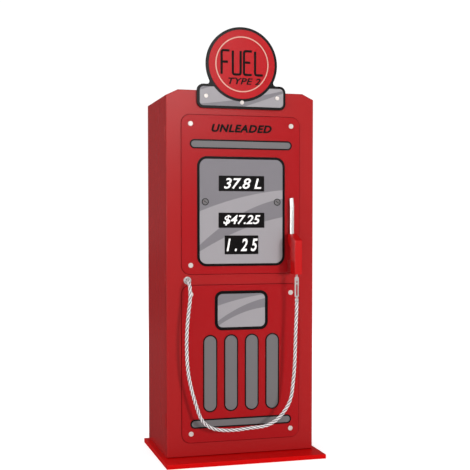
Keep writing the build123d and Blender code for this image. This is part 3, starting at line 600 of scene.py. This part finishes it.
@dataclass(frozen=True)
class Lettering:
    """A style of letter.

    Attributes:
        lean: How far the letters lean to the right.
        weight: How much the strokes are thickened.
        spacing: Width of the letters' places, of the font's own.
    """

    lean: float = 0.0
    weight: float = 0.0
    spacing: float = 1.0

    def write(self, name: str, words: str, box: LetterBox, material: bpy.types.Material) -> bpy.types.Object:
        """Makes one raised line of letters that fills its box.

        Args:
            name: The piece's name.
            words: The letters.
            box: The place to fill.
            material: The letters' finish.

        Returns:
            The new piece.
        """
        text = bpy.data.curves.new(name, "FONT")
        text.body = words
        text.shear = self.lean
        text.offset = self.weight
        text.space_character = self.spacing
        text.extrude = 0.5
        text.resolution_u = 6
        mesh = mesh_of_curve(text)
        lows = [min(v.co[i] for v in mesh.vertices) for i in range(3)]
        highs = [max(v.co[i] for v in mesh.vertices) for i in range(3)]
        sizes = ((box.right - box.left), (box.top - box.foot), box.rise)
        scale = [size / (high - low) for size, low, high in zip(sizes, lows, highs)]
        stand = Matrix.Rotation(math.pi / 2, 4, "X")
        shape = bmesh.new()
        shape.from_mesh(mesh)
        bmesh.ops.translate(shape, vec=[-low for low in lows], verts=shape.verts)
        bmesh.ops.scale(shape, vec=scale, verts=shape.verts)
        bmesh.ops.transform(shape, matrix=stand, verts=shape.verts)
        bmesh.ops.translate(shape, vec=(box.left, box.depth, box.foot), verts=shape.verts)
        shape.to_mesh(mesh)
        shape.free()
        piece = place(name, mesh, Body.DOOR, "black_gloss")
        dress(piece, material)
        return piece


@dataclass(frozen=True)
class RoundStroke:
    """A thick even stroke with rounded corners, for the sign's large word.

    Attributes:
        width: The stroke's width, in metres.
        corner: Radius of its corners.
    """

    width: float = 0.0095
    corner: float = 0.020

    def draw(self, curve: bpy.types.Curve, points: list[tuple[float, float]]) -> None:
        """Adds one stroke to a curve.

        Args:
            curve: The curve that holds the word.
            points: The stroke's corners, in metres on the word's plane.
        """
        corners = [Vector((x, y, 0.0)) for x, y in points]
        route = [corners[0]]
        for before, corner, after in zip(corners, corners[1:], corners[2:]):
            for end in (before, after):
                way = end - corner
                route.append(corner + way.normalized() * min(self.corner, way.length / 2))
                if end is before:
                    route.append(corner)
        route.append(corners[-1])
        spline = curve.splines.new("NURBS")
        spline.points.add(len(route) - 1)
        for point, at in zip(spline.points, route):
            point.co = (*at, 1.0)
        spline.order_u = 3
        spline.use_endpoint_u = True
        spline.resolution_u = 10


# ------------------------------------------------------------- sub-assemblies


@dataclass(frozen=True)
class Camera:
    """The camera at the cabinet's left front, a little above its middle.

    Attributes:
        place: Where it stands, in metres.
        turn: How far it turns to the right, in degrees.
        tilt: How far it looks down, in degrees.
        lens: Focal length, in millimetres.
        rise: Upward shift of the view, of the frame's side.
    """

    place: Point = (-1.0763, -3.8424, 0.9610)
    turn: float = 15.843
    tilt: float = 2.582
    lens: float = 72.73
    rise: float = 0.0662

    def build(self) -> None:
        """Makes the camera and makes it the scene's."""
        data = bpy.data.cameras.new("camera")
        data.lens = self.lens
        data.sensor_width = 36.0
        data.shift_y = self.rise
        camera = bpy.data.objects.new("camera", data)
        camera.location = self.place
        camera.rotation_euler = (math.radians(90 - self.tilt), 0.0, math.radians(-self.turn))
        bpy.context.scene.collection.objects.link(camera)
        bpy.context.scene.camera = camera


ROPE_ROUTE: tuple[Point, ...] = (
    (-0.2240, -0.1345, 0.7320),
    (-0.2240, -0.1602, 0.7320),
    (-0.2245, -0.1825, 0.7190),
    (-0.2250, -0.1950, 0.6960),
    (-0.2250, -0.1965, 0.6600),
    (-0.2325, -0.1955, 0.6050),
    (-0.2390, -0.1950, 0.5350),
    (-0.2400, -0.1945, 0.4500),
    (-0.2355, -0.1950, 0.3720),
    (-0.2210, -0.1960, 0.3000),
    (-0.2000, -0.1975, 0.2280),
    (-0.1825, -0.1990, 0.1780),
    (-0.1500, -0.2005, 0.1460),
    (-0.1050, -0.2030, 0.1330),
    (-0.0450, -0.2070, 0.1305),
    (0.0250, -0.2120, 0.1380),
    (0.0800, -0.2155, 0.1410),
    (0.1250, -0.2185, 0.1610),
    (0.1650, -0.2205, 0.2040),
    (0.1885, -0.2220, 0.2500),
    (0.1965, -0.2230, 0.3180),
    (0.2030, -0.2235, 0.3950),
    (0.2045, -0.2245, 0.4800),
    (0.2075, -0.2235, 0.5550),
    (0.2100, -0.2235, 0.6120),
    (0.2100, -0.2235, 0.6437),
)


@dataclass(frozen=True)
class LaidRope:
    """The three-strand rope that stands for the pump's hose.

    Attributes:
        diameter: The rope's outer diameter, in metres.
        strands: How many strands it has.
        pitch: Length of one full turn of a strand.
        groove_share: The part of the rope's radius inside which the strands get painted shade.
        slack: A strand's radius, of one that would touch its neighbours.
    """

    diameter: float = 0.014
    strands: int = 3
    pitch: float = 0.060
    groove_share: float = 0.76
    slack: float = 0.92

    @property
    def strand_radius(self) -> float:
        """A strand's radius: a little under that of strands that touch inside the rope's outer circle."""
        touching = self.diameter / 2 / (1 + 1 / math.sin(math.pi / self.strands))
        return self.slack * touching

    def centreline(self) -> list[Vector]:
        """Points along the route's smooth line."""
        curve = bpy.data.curves.new("rope_line", "CURVE")
        curve.dimensions = "3D"
        spline = curve.splines.new("NURBS")
        spline.points.add(len(ROPE_ROUTE) - 1)
        for point, at in zip(spline.points, ROPE_ROUTE):
            point.co = (*at, 1.0)
        spline.order_u = 3
        spline.use_endpoint_u = True
        spline.resolution_u = 24
        mesh = mesh_of_curve(curve)
        line = [v.co.copy() for v in mesh.vertices]
        bpy.data.meshes.remove(mesh)
        return line

    def strand_points(self, line: list[Vector], start: float) -> list[Vector]:
        """Points of one strand, which winds round the rope's middle.

        Args:
            line: The rope's middle.
            start: The strand's angle at its first point.

        Returns:
            One point for each point of the line.
        """
        out = self.diameter / 2 - self.strand_radius
        across = Vector((1.0, 0.0, 0.0))
        points = []
        run = 0.0
        for i, at in enumerate(line):
            ahead = line[min(i + 1, len(line) - 1)] - line[max(i - 1, 0)]
            way = ahead.normalized()
            across = (across - way * across.dot(way)).normalized()
            turn = start + 2 * math.pi * run / self.pitch
            points.append(at + out * (across * math.cos(turn) + way.cross(across) * math.sin(turn)))
            if i + 1 < len(line):
                run += (line[i + 1] - at).length
        return points

    def paint_groove_shade(self, mesh: bpy.types.Mesh, line: list[Vector], material: bpy.types.Material) -> None:
        """Paints shade on the faces between the strands by giving them a darker material.

        Args:
            mesh: The rope's mesh.
            line: The rope's middle.
            material: The finish of painted shade for the grooves.
        """
        tree = KDTree(len(line))
        for i, point in enumerate(line):
            tree.insert(point, i)
        tree.balance()
        mesh.materials.append(material)
        for face in mesh.polygons:
            nearest = tree.find(face.center)[1]
            way = (line[min(nearest + 1, len(line) - 1)] - line[max(nearest - 1, 0)]).normalized()
            out = face.center - line[nearest]
            if (out - way * out.dot(way)).length < self.groove_share * self.diameter / 2:
                face.material_index = 1

    def build(self, finishes: Finishes) -> None:
        """Args:
            finishes: The cabinet's finishes.
        """
        line = self.centreline()
        curve = bpy.data.curves.new("rope_strands", "CURVE")
        curve.dimensions = "3D"
        curve.bevel_depth = self.strand_radius
        curve.bevel_resolution = 3
        curve.use_fill_caps = True
        for i in range(self.strands):
            points = self.strand_points(line, 2 * math.pi * i / self.strands)
            spline = curve.splines.new("POLY")
            spline.points.add(len(points) - 1)
            for point, at in zip(spline.points, points):
                point.co = (*at, 1.0)
        mesh = mesh_of_curve(curve)
        for face in mesh.polygons:
            face.use_smooth = True
        rope = bpy.data.objects.new("rope_hose", mesh)
        bpy.context.scene.collection.objects.link(rope)
        dress(rope, finishes.rope)
        # Paints shade into the creases between the strands.
        self.paint_groove_shade(mesh, line, finishes.groove)
        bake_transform(rope)
        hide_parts("hose")


@dataclass(frozen=True)
class Carcass:
    """The cabinet's boards, shelves, hinges and catch."""

    def build(self, finishes: Finishes) -> None:
        """Dresses the boards and the fittings.

        Args:
            finishes: The cabinet's finishes.
        """
        sides = ["side_panel_left", "side_panel_right", "top_slope_left", "top_slope_right", "top_panel"]
        insides = ["bottom_panel", "back_panel", "shelf_lower", "shelf_middle", "shelf_upper"]
        dress_nodes(finishes.lacquer, "front_door", *sides, *insides)
        dress_nodes(finishes.base_red, "base_board")
        dress_nodes(finishes.lacquer, "hinge_leaves_cabinet", "hinge_leaves_door")
        dress_nodes(finishes.hinge_red, "nozzle_holder", "holder_screws")
        dress_nodes(finishes.catch_white, "magnetic_catch")
        small = ["shelf_pins", "base_screws", "back_panel_screws", "catch_screws", "catch_plate"]
        hinges = ["hinge_pins", "hinge_screws_cabinet", "hinge_screws_door"]
        pins = ["trigger_pin", "gate_pin", "trigger_spring"]
        dress_nodes(finishes.zinc, *small, *hinges, *pins)


@dataclass(frozen=True)
class Panels:
    """The door's two red panels with their borders, faces, trims and slots.

    Attributes:
        display_upper: Heights of the top band's lower edge over the display's foot, left to right.
        display_second: Heights of the other band's upper edge.
        display_third: Heights of its lower edge.
        window_upper: The same three for the lower panel's window.
        window_second: Its other band's upper edge.
        window_third: And lower edge.
        washer_w: Thickness of the washers round the display's screws.
        washer_sunk: Their depth behind the screws' fronts.
        line_w: Width of the dark line of painted shadow round each panel.
        line_d: Its thickness.
        panel_r: The panels' corner radius.
        corner_steps: Steps round a corner of the line.
        slot_turn: Turn of the screws' slots, in degrees.
        slot_share: The slots' length, of the screws' radius.
        slot_w: The slots' width.
        slot_d: Thickness of the dark bars of painted shade in the slots.
        slot_sunk: The bars' depth behind the screws' fronts.
    """

    display_upper: tuple[float, float, float] = (0.211, 0.268, 0.298)
    display_second: tuple[float, float, float] = (0.076, 0.202, 0.263)
    display_third: tuple[float, float, float] = (0.050, 0.137, 0.188)
    window_upper: tuple[float, float, float] = (0.088, 0.115, 0.132)
    window_second: tuple[float, float, float] = (0.026, 0.083, 0.115)
    window_third: tuple[float, float, float] = (0.006, 0.056, 0.078)
    washer_w: float = 0.0028
    washer_sunk: float = 0.0012
    line_w: float = 0.0022
    line_d: float = 0.0004
    panel_r: float = 0.035
    corner_steps: int = 12
    slot_turn: float = 35.0
    slot_share: float = 1.24
    slot_w: float = 0.0021
    slot_d: float = 0.0004
    slot_sunk: float = 0.0006

    @staticmethod
    def curves(node: str, *heights: tuple[float, float, float]) -> tuple[BandCurve, ...]:
        """Band curves over a node's face, from heights above the node's foot."""
        foot = edge_of(node, Side.FOOT)
        reach = edge_of(node, Side.RIGHT)
        return tuple(BandCurve(reach, *(foot + height for height in three)) for three in heights)

    def build(self, finishes: Finishes) -> None:
        """Dresses the panels and writes the readings.

        Args:
            finishes: The cabinet's finishes.
        """
        dress_nodes(finishes.panel_red, "upper_panel", "lower_panel")
        trims = ["upper_trim_border", "lower_trim_border", "lower_window_border", "grille_borders"]
        windows = ["volume_window", "total_window", "price_window"]
        dress_nodes(finishes.black, "display_border", *trims, *windows)
        dress_nodes(finishes.slot_grey, "grille_faces", "upper_trim_face", "lower_trim_face")
        dress_nodes(finishes.screw, "panel_screws", "sign_screws")
        display = self.curves("display_face", self.display_upper, self.display_second, self.display_third)
        dress_nodes(BandedGrey("display_grey", LIGHT_GREY, DARK_GREY, display).build(), "display_face")
        window = self.curves("lower_window_face", self.window_upper, self.window_second, self.window_third)
        dress_nodes(BandedGrey("window_grey", LIGHT_GREY, DARK_GREY, window).build(), "lower_window_face")
        dress_nodes(finishes.slot_grey, "display_screws")
        self.ring_screws(finishes)
        self.write_readings(finishes)
        # Painted shadow round each panel's foot.
        for panel in ("upper_panel", "lower_panel"):
            self.paint_edge_shadow(panel, finishes)

    def paint_edge_shadow(self, panel: str, finishes: Finishes) -> None:
        """Lays a thin dark line of painted shadow on the door round a panel's foot.

        Args:
            panel: The panel's node.
            finishes: The cabinet's finishes.
        """
        low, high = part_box(panel)
        shape = bmesh.new()
        rings = []
        for grow in (0.0, self.line_w):
            radius = self.panel_r + grow
            corners = []
            for quarter, (side, end) in enumerate(((1, 1), (-1, 1), (-1, -1), (1, -1))):
                x = (low[0] + high[0]) / 2 + side * ((high[0] - low[0]) / 2 + grow - radius)
                z = (low[2] + high[2]) / 2 + end * ((high[2] - low[2]) / 2 + grow - radius)
                for step in range(self.corner_steps + 1):
                    turn = math.pi / 2 * (quarter + step / self.corner_steps)
                    at = (x + radius * math.cos(turn), high[1] - self.line_d, z + radius * math.sin(turn))
                    corners.append(shape.verts.new(at))
            rings.append(corners)
        inner, outer = rings
        for i, vert in enumerate(inner):
            after = (i + 1) % len(inner)
            shape.faces.new((vert, inner[after], outer[after], outer[i]))
        sides = bmesh.ops.extrude_face_region(shape, geom=shape.faces[:])
        back = [item for item in sides["geom"] if isinstance(item, bmesh.types.BMVert)]
        bmesh.ops.translate(shape, vec=(0.0, self.line_d, 0.0), verts=back)
        bmesh.ops.recalc_face_normals(shape, faces=shape.faces)
        mesh = bpy.data.meshes.new(f"{panel}_line")
        shape.to_mesh(mesh)
        shape.free()
        dress(place(f"{panel}_line", mesh, Body.DOOR, "red_panel"), finishes.edge_shadow_red)

    def ring_screws(self, finishes: Finishes) -> None:
        """Puts a thin dark washer round each of the display's screws, and a dark bar of painted shade in its
        slot.
        """
        low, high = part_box("display_screws")
        radius = (high[2] - low[2]) / 2
        shape = bmesh.new()
        for x in (low[0] + radius, high[0] - radius):
            middle_z = (low[2] + high[2]) / 2
            start = Vector((x + radius + self.washer_w / 2, low[1] + self.washer_sunk, middle_z))
            ring = bmesh.ops.create_circle(shape, radius=self.washer_w / 2, segments=10)["verts"]
            bmesh.ops.translate(shape, vec=start, verts=ring)
            edges = [edge for edge in shape.edges if edge.verts[0] in ring and edge.verts[1] in ring]
            bmesh.ops.spin(
                shape,
                geom=ring + edges,
                cent=(x, 0.0, start.z),
                axis=(0.0, 1.0, 0.0),
                angle=2 * math.pi,
                steps=48,
                use_merge=True,
            )
            turn = Matrix.Rotation(math.radians(self.slot_turn), 3, "Y")
            # The dark bar lies in the slot as painted shade.
            bar = bmesh.ops.create_cube(shape, size=1.0)["verts"]
            bmesh.ops.scale(shape, vec=(self.slot_share * radius, self.slot_d, self.slot_w), verts=bar)
            bmesh.ops.rotate(shape, cent=(0.0, 0.0, 0.0), matrix=turn, verts=bar)
            bmesh.ops.translate(shape, vec=(x, low[1] + self.slot_sunk, start.z), verts=bar)
        bmesh.ops.recalc_face_normals(shape, faces=shape.faces)
        mesh = bpy.data.meshes.new("display_washers_and_slot_shade")
        shape.to_mesh(mesh)
        shape.free()
        dress(place("display_washers_and_slot_shade", mesh, Body.DOOR, "black_gloss"), finishes.black)

    def write_readings(self, finishes: Finishes) -> None:
        """Writes the three readings and the upper panel's heading."""
        digits = Lettering(lean=0.25, weight=0.016)
        rows = {
            "volume": ("37.8 L", 0.074, 0.083, 0.043),
            "total": ("$47.25", 0.077, 0.079, 0.042),
            "price": ("1.25", 0.063, 0.068, 0.052),
        }
        for window, (words, left, right, tall) in rows.items():
            node = f"{window}_window"
            middle = (edge_of(node, Side.FOOT) + edge_of(node, Side.TOP)) / 2
            box = LetterBox(-left, right, middle - tall / 2, middle + tall / 2, front_of(node))
            style = Lettering(lean=0.25, weight=0.022, spacing=1.6) if window == "price" else digits
            style.write(f"{window}_reading", words, box, finishes.letter_white)
        top = edge_of("upper_panel", Side.TOP)
        box = LetterBox(-0.125, 0.128, top - 0.067, top - 0.035, front_of("upper_panel"))
        style = Lettering(lean=0.25, weight=0.042, spacing=1.12)
        style.write("heading", "UNLEADED", box, finishes.letter_black)


@dataclass(frozen=True)
class Sign:
    """The round sign on its plate, with its large and small words.

    Attributes:
        word_left: The large word's left end, in metres from the disc's middle.
        word_right: Its right end.
        word_foot: Its foot.
        word_top: Its top.
        letter_gap: The gap between its letters.
    """

    word_left: float = -0.085
    word_right: float = 0.087
    word_foot: float = -0.041
    word_top: float = 0.053
    letter_gap: float = 0.014

    def strokes(self) -> list[list[tuple[float, float]]]:
        """The large word's strokes, each as corners on the sign's plane."""
        shapes = [
            [[(1, 1), (0, 1), (0, 0)], [(0, 0.52), (0.8, 0.52)]],
            [[(0, 1), (0, 0), (1, 0), (1, 1)]],
            [[(1, 1), (0, 1), (0, 0), (1, 0)], [(0, 0.52), (0.8, 0.52)]],
            [[(0, 1), (0, 0), (1, 0)]],
        ]
        width = (self.word_right - self.word_left - 3 * self.letter_gap) / 4
        tall = self.word_top - self.word_foot
        strokes = []
        for i, letter in enumerate(shapes):
            left = self.word_left + i * (width + self.letter_gap)
            strokes += [[(left + x * width, self.word_foot + y * tall) for x, y in line] for line in letter]
        return strokes

    def build(self, finishes: Finishes) -> None:
        """Dresses the sign and makes its words.

        Args:
            finishes: The cabinet's finishes.
        """
        dress_nodes(finishes.black, "sign_board")
        dress_nodes(finishes.sign_red, "sign_disc_face")
        dress_nodes(finishes.cream, "sign_ring")
        face = self.plate_curves()
        dress_nodes(BandedGrey("plate_grey", LIGHT_GREY, DARK_GREY, face).build(), "sign_plate_face")
        low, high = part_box("sign_disc_face")
        middle = Vector(((low[0] + high[0]) / 2, low[1], (low[2] + high[2]) / 2))
        self.build_word(middle, finishes)
        box = LetterBox(-0.058, 0.078, middle.z - 0.080, middle.z - 0.054, middle.y)
        style = Lettering(lean=0.25, weight=0.024, spacing=1.08)
        style.write("small_word", "TYPE 2", box, finishes.letter_black)

    def plate_curves(self) -> tuple[BandCurve, BandCurve, BandCurve]:
        """The plate's bands: one across its right top and one at its left."""
        foot = edge_of("sign_plate_face", Side.FOOT)
        reach = edge_of("sign_plate_face", Side.RIGHT)
        upper = BandCurve(reach, foot + 0.060, foot + 0.120, foot + 0.180)
        second = BandCurve(reach, foot + 0.006, foot + 0.030, foot + 0.068)
        third = BandCurve(reach, foot - 0.060, foot - 0.004, foot + 0.058)
        return (upper, second, third)

    def build_word(self, middle: Vector, finishes: Finishes) -> None:
        """Makes the large word from rounded strokes, pressed flat onto the disc.

        Args:
            middle: The disc's middle, on its face.
            finishes: The cabinet's finishes.
        """
        curve = bpy.data.curves.new("large_word", "CURVE")
        curve.dimensions = "3D"
        stroke = RoundStroke()
        curve.bevel_depth = stroke.width / 2
        curve.bevel_resolution = 4
        curve.use_fill_caps = True
        for points in self.strokes():
            stroke.draw(curve, points)
        mesh = mesh_of_curve(curve)
        shape = bmesh.new()
        shape.from_mesh(mesh)
        flatten = WORD_RISE / stroke.width
        bmesh.ops.scale(shape, vec=(1.0, 1.0, flatten), verts=shape.verts)
        bmesh.ops.transform(shape, matrix=Matrix.Rotation(math.pi / 2, 4, "X"), verts=shape.verts)
        bmesh.ops.translate(shape, vec=middle, verts=shape.verts)
        shape.to_mesh(mesh)
        shape.free()
        for face in mesh.polygons:
            face.use_smooth = True
        dress(place("large_word", mesh, Body.DOOR, "black_gloss"), finishes.letter_black)


@dataclass(frozen=True)
class Nozzle:
    """The nozzle with its spout, trigger, staple and snap hook."""

    def build(self, finishes: Finishes) -> None:
        """Dresses the nozzle's pieces.

        Args:
            finishes: The cabinet's finishes.
        """
        dress_nodes(finishes.nozzle_red, "nozzle_body", "nozzle_trigger")
        dress_nodes(finishes.tube, "spout")
        hooks = ["snap_hook", "snap_hook_gate", "nozzle_staple", "rope_ferrule"]
        dress_nodes(finishes.nickel, "rope_grommet", *hooks)
        dress_nodes(finishes.rope, "rope_stop")


@dataclass(frozen=True)
class SoftBox:
    """A square area light.

    Attributes:
        name: The light's name.
        at: Its place.
        aim: The point that it faces.
        size: Its side, in metres.
        power: Its power, in watts.
        mirrored: Whether glossy surfaces mirror it.
        lights: Whether it lights surfaces softly.
    """

    name: str
    at: Point
    aim: Point
    size: float
    power: float
    mirrored: bool = True
    lights: bool = True

    def build(self) -> None:
        """Adds the light to the scene."""
        data = bpy.data.lights.new(self.name, "AREA")
        data.size = self.size
        data.energy = self.power
        light = bpy.data.objects.new(self.name, data)
        light.location = self.at
        light.rotation_euler = (Vector(self.aim) - Vector(self.at)).to_track_quat("-Z", "Y").to_euler()
        light.visible_glossy = self.mirrored
        light.visible_diffuse = self.lights
        light.visible_camera = False
        bpy.context.scene.collection.objects.link(light)


@dataclass(frozen=True)
class Studio:
    """A pale floor under a white sky, with a soft key light and a card for the gloss.

    Attributes:
        floor_size: The floor's side, in metres.
        seen: The sky's strength as the camera sees it.
        soft: Its strength as it lights the cabinet.
        mirrored: Its strength in reflections.
        floor_mirrored: The floor's paint in reflections.
        floor_lift: What lifts the floor towards white where the camera sees it.
        boxes: The lights.
    """

    floor_size: float = 60.0
    seen: float = 1.05
    soft: float = 0.68
    mirrored: float = 0.09
    floor_mirrored: float = 0.07
    floor_lift: float = 0.42
    boxes: tuple[SoftBox, ...] = (
        SoftBox("key", (1.9, -5.0, 1.3), (0.0, 0.0, 0.9), 0.75, 150.0, mirrored=False),
        SoftBox("side", (-5.0, -1.0, 1.6), (0.0, 0.0, 0.9), 2.0, 85.0),
        SoftBox("sheen", (0.0, -4.6, 3.0), (0.0, 0.0, 1.1), 2.6, 82.0, lights=False),
        SoftBox("back", (-1.0, 4.5, 3.0), (0.0, 0.0, 0.9), 2.5, 60.0, mirrored=False),
    )

    def build(self) -> None:
        """Makes the floor, the lights and the sky."""
        shape = bmesh.new()
        bmesh.ops.create_grid(shape, x_segments=1, y_segments=1, size=self.floor_size / 2)
        mesh = bpy.data.meshes.new("floor")
        shape.to_mesh(mesh)
        shape.free()
        floor = bpy.data.objects.new("floor", mesh)
        bpy.context.scene.collection.objects.link(floor)
        dress(floor, self.floor_paint())
        self.build_sky()
        for box in self.boxes:
            box.build()

    def floor_paint(self) -> bpy.types.Material:
        """Builds the floor's matt white paint, which is dim in reflections, and returns it."""
        recipe = Recipe("floor_white")
        glossy = recipe.tree.nodes.new("ShaderNodeLightPath").outputs["Is Glossy Ray"]
        mottle = recipe.add_group(GROUPS.mottle, {"Scale": 2.0, "Contrast": 1.0}).outputs["Mask"]
        paint = recipe.blend_colours(mottle, (0.94, 0.94, 0.94), (0.92, 0.92, 0.92))
        dim = recipe.tree.nodes.new("ShaderNodeMix")
        dim.data_type = "RGBA"
        recipe.tree.links.new(glossy, dim.inputs["Factor"])
        recipe.tree.links.new(paint, dim.inputs["A"])
        dim.inputs["B"].default_value = (self.floor_mirrored,) * 3 + (1.0,)
        recipe.feed(dim.outputs["Result"], "Base Color")
        recipe.skin.inputs["Roughness"].default_value = 0.9
        recipe.skin.inputs["Specular IOR Level"].default_value = 0.0
        recipe.skin.inputs["Emission Color"].default_value = BACKGROUND_WHITE
        camera = recipe.tree.nodes["Light Path"].outputs["Is Camera Ray"]
        recipe.feed(maths(recipe.tree, "MULTIPLY", camera, self.floor_lift), "Emission Strength")
        return recipe.material

    def build_sky(self) -> None:
        """Makes the sky: white to the camera, softer as a light and dim in reflections."""
        world = bpy.data.worlds.new("studio")
        world.use_nodes = True
        tree = world.node_tree
        path = tree.nodes.new("ShaderNodeLightPath")
        glossy = maths(tree, "MULTIPLY", path.outputs["Is Glossy Ray"], self.mirrored - self.soft)
        camera = maths(tree, "MULTIPLY", path.outputs["Is Camera Ray"], self.seen - self.soft)
        strength = maths(tree, "ADD", maths(tree, "ADD", glossy, camera), self.soft)
        tree.links.new(strength, tree.nodes["Background"].inputs["Strength"])
        tree.nodes["Background"].inputs["Color"].default_value = BACKGROUND_WHITE
        bpy.context.scene.world = world


def main() -> None:
    """Builds the camera, the hose, the cabinet and the studio, in that order."""
    logging.basicConfig(level=logging.INFO)
    bpy.context.scene.view_settings.view_transform = "Standard"
    Camera().build()
    finishes = Finishes()
    LaidRope().build(finishes)
    Carcass().build(finishes)
    Panels().build(finishes)
    Sign().build(finishes)
    Nozzle().build(finishes)
    Studio().build()


if __name__ == "__main__":
    main()
